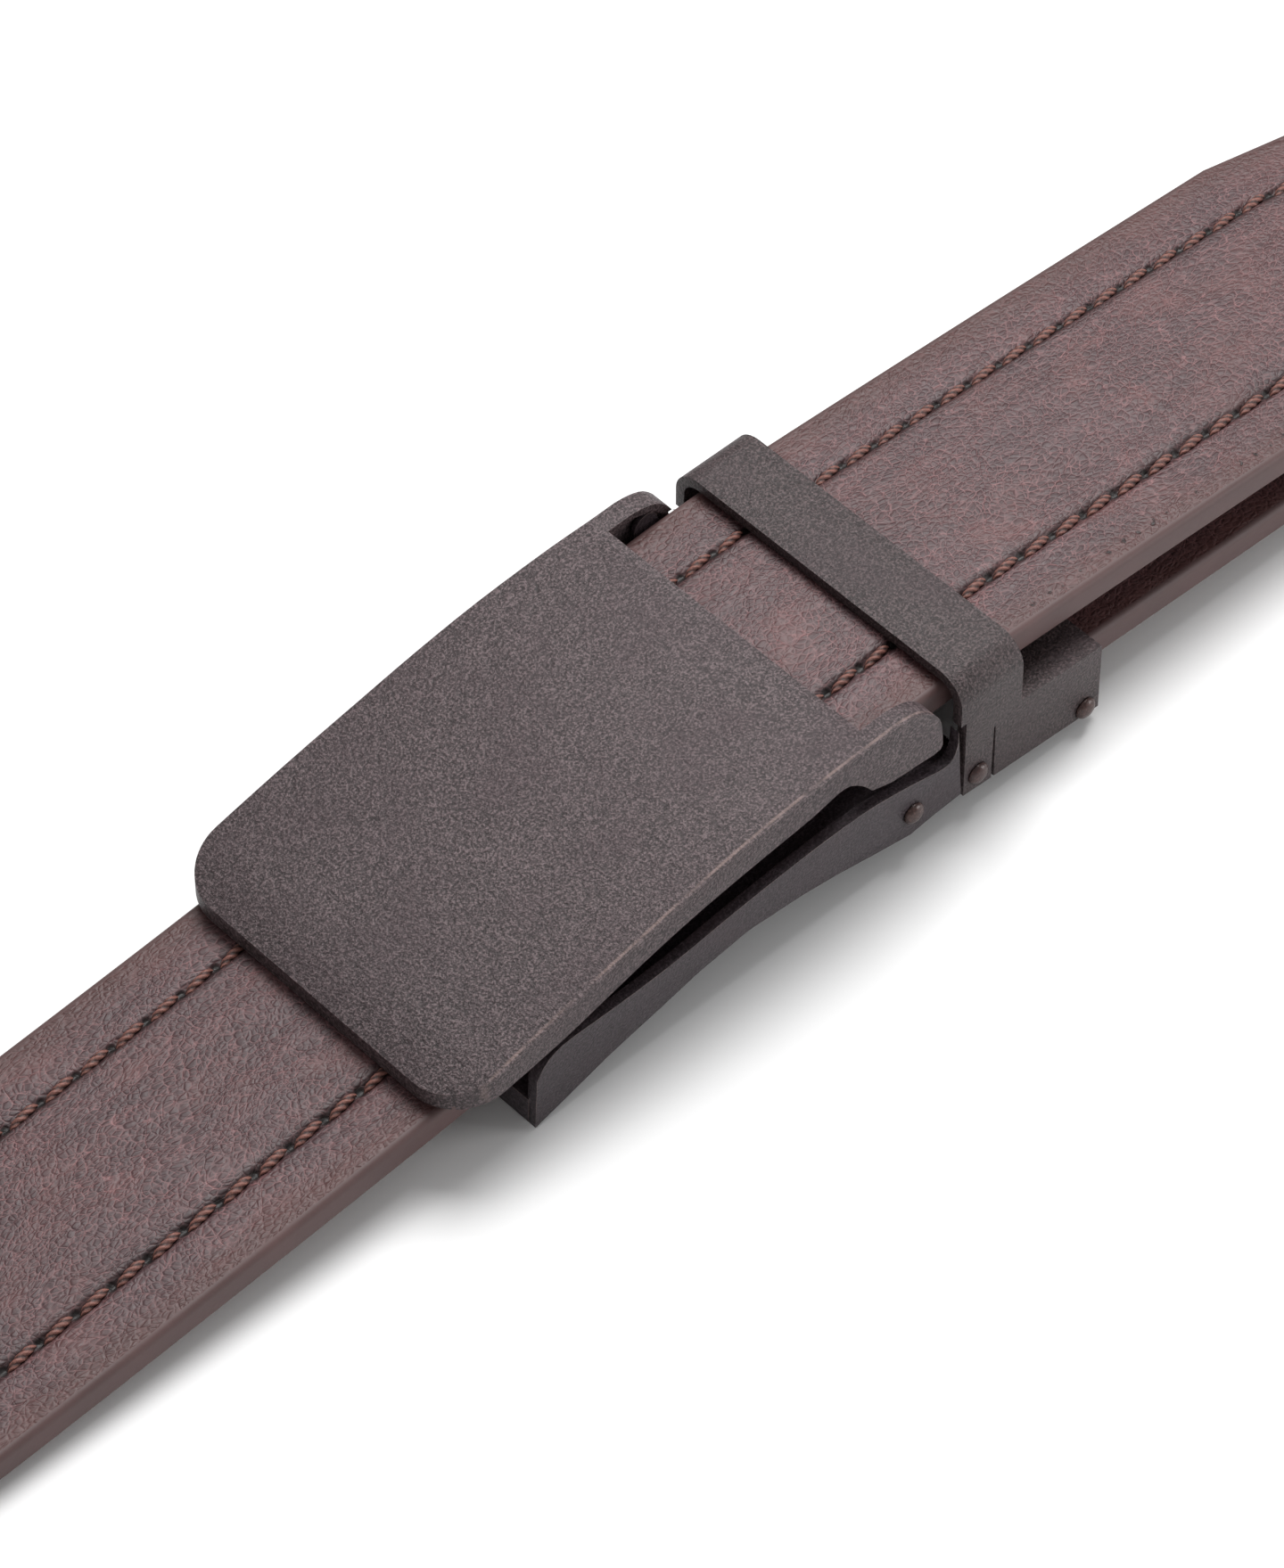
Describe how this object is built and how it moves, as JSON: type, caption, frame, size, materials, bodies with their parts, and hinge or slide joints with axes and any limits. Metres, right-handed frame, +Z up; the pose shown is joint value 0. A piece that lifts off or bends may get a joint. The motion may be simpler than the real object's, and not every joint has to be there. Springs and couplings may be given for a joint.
{
  "type": "ratchet belt",
  "caption": "Leather ratchet belt, fastened in a loop, with an arched cover plate, keeper bar, strap clamp and a tapered tail.",
  "frame": {"origin": "on the floor under the middle of the loop, where it lies with the buckle's face up", "axes": "+X along the front of the belt towards the clamped end and the tail, +Y from the buckle into the loop, +Z up"},
  "size_m": [0.4636, 0.1816, 0.0352],
  "materials": {
    "leather": "fine-grained, purple-brown, satin",
    "track_plastic": "matte black",
    "buckle_coat": "fine textured powder coat, brown-grey",
    "rivet_coat": "satin red-brown"
  },
  "bodies": {
    "belt": {"strap": "leather", "ratchet_track": "track_plastic", "base_frame": "buckle_coat", "keeper_clamp": "buckle_coat", "frame_pin": "rivet_coat", "keeper_pin": "rivet_coat", "clamp_pin": "rivet_coat", "pawl": "buckle_coat", "clamp_jaw": "buckle_coat"},
    "cover": {"cover_plate": "buckle_coat"}
  },
  "joints": [
    {"name": "cover_lift", "type": "hinge", "parent": "belt", "child": "cover", "pos_m": [0.0052, -0.0698, 0.017], "axis": [0, 1, 0], "range_deg": [0, 40]}
  ]
}
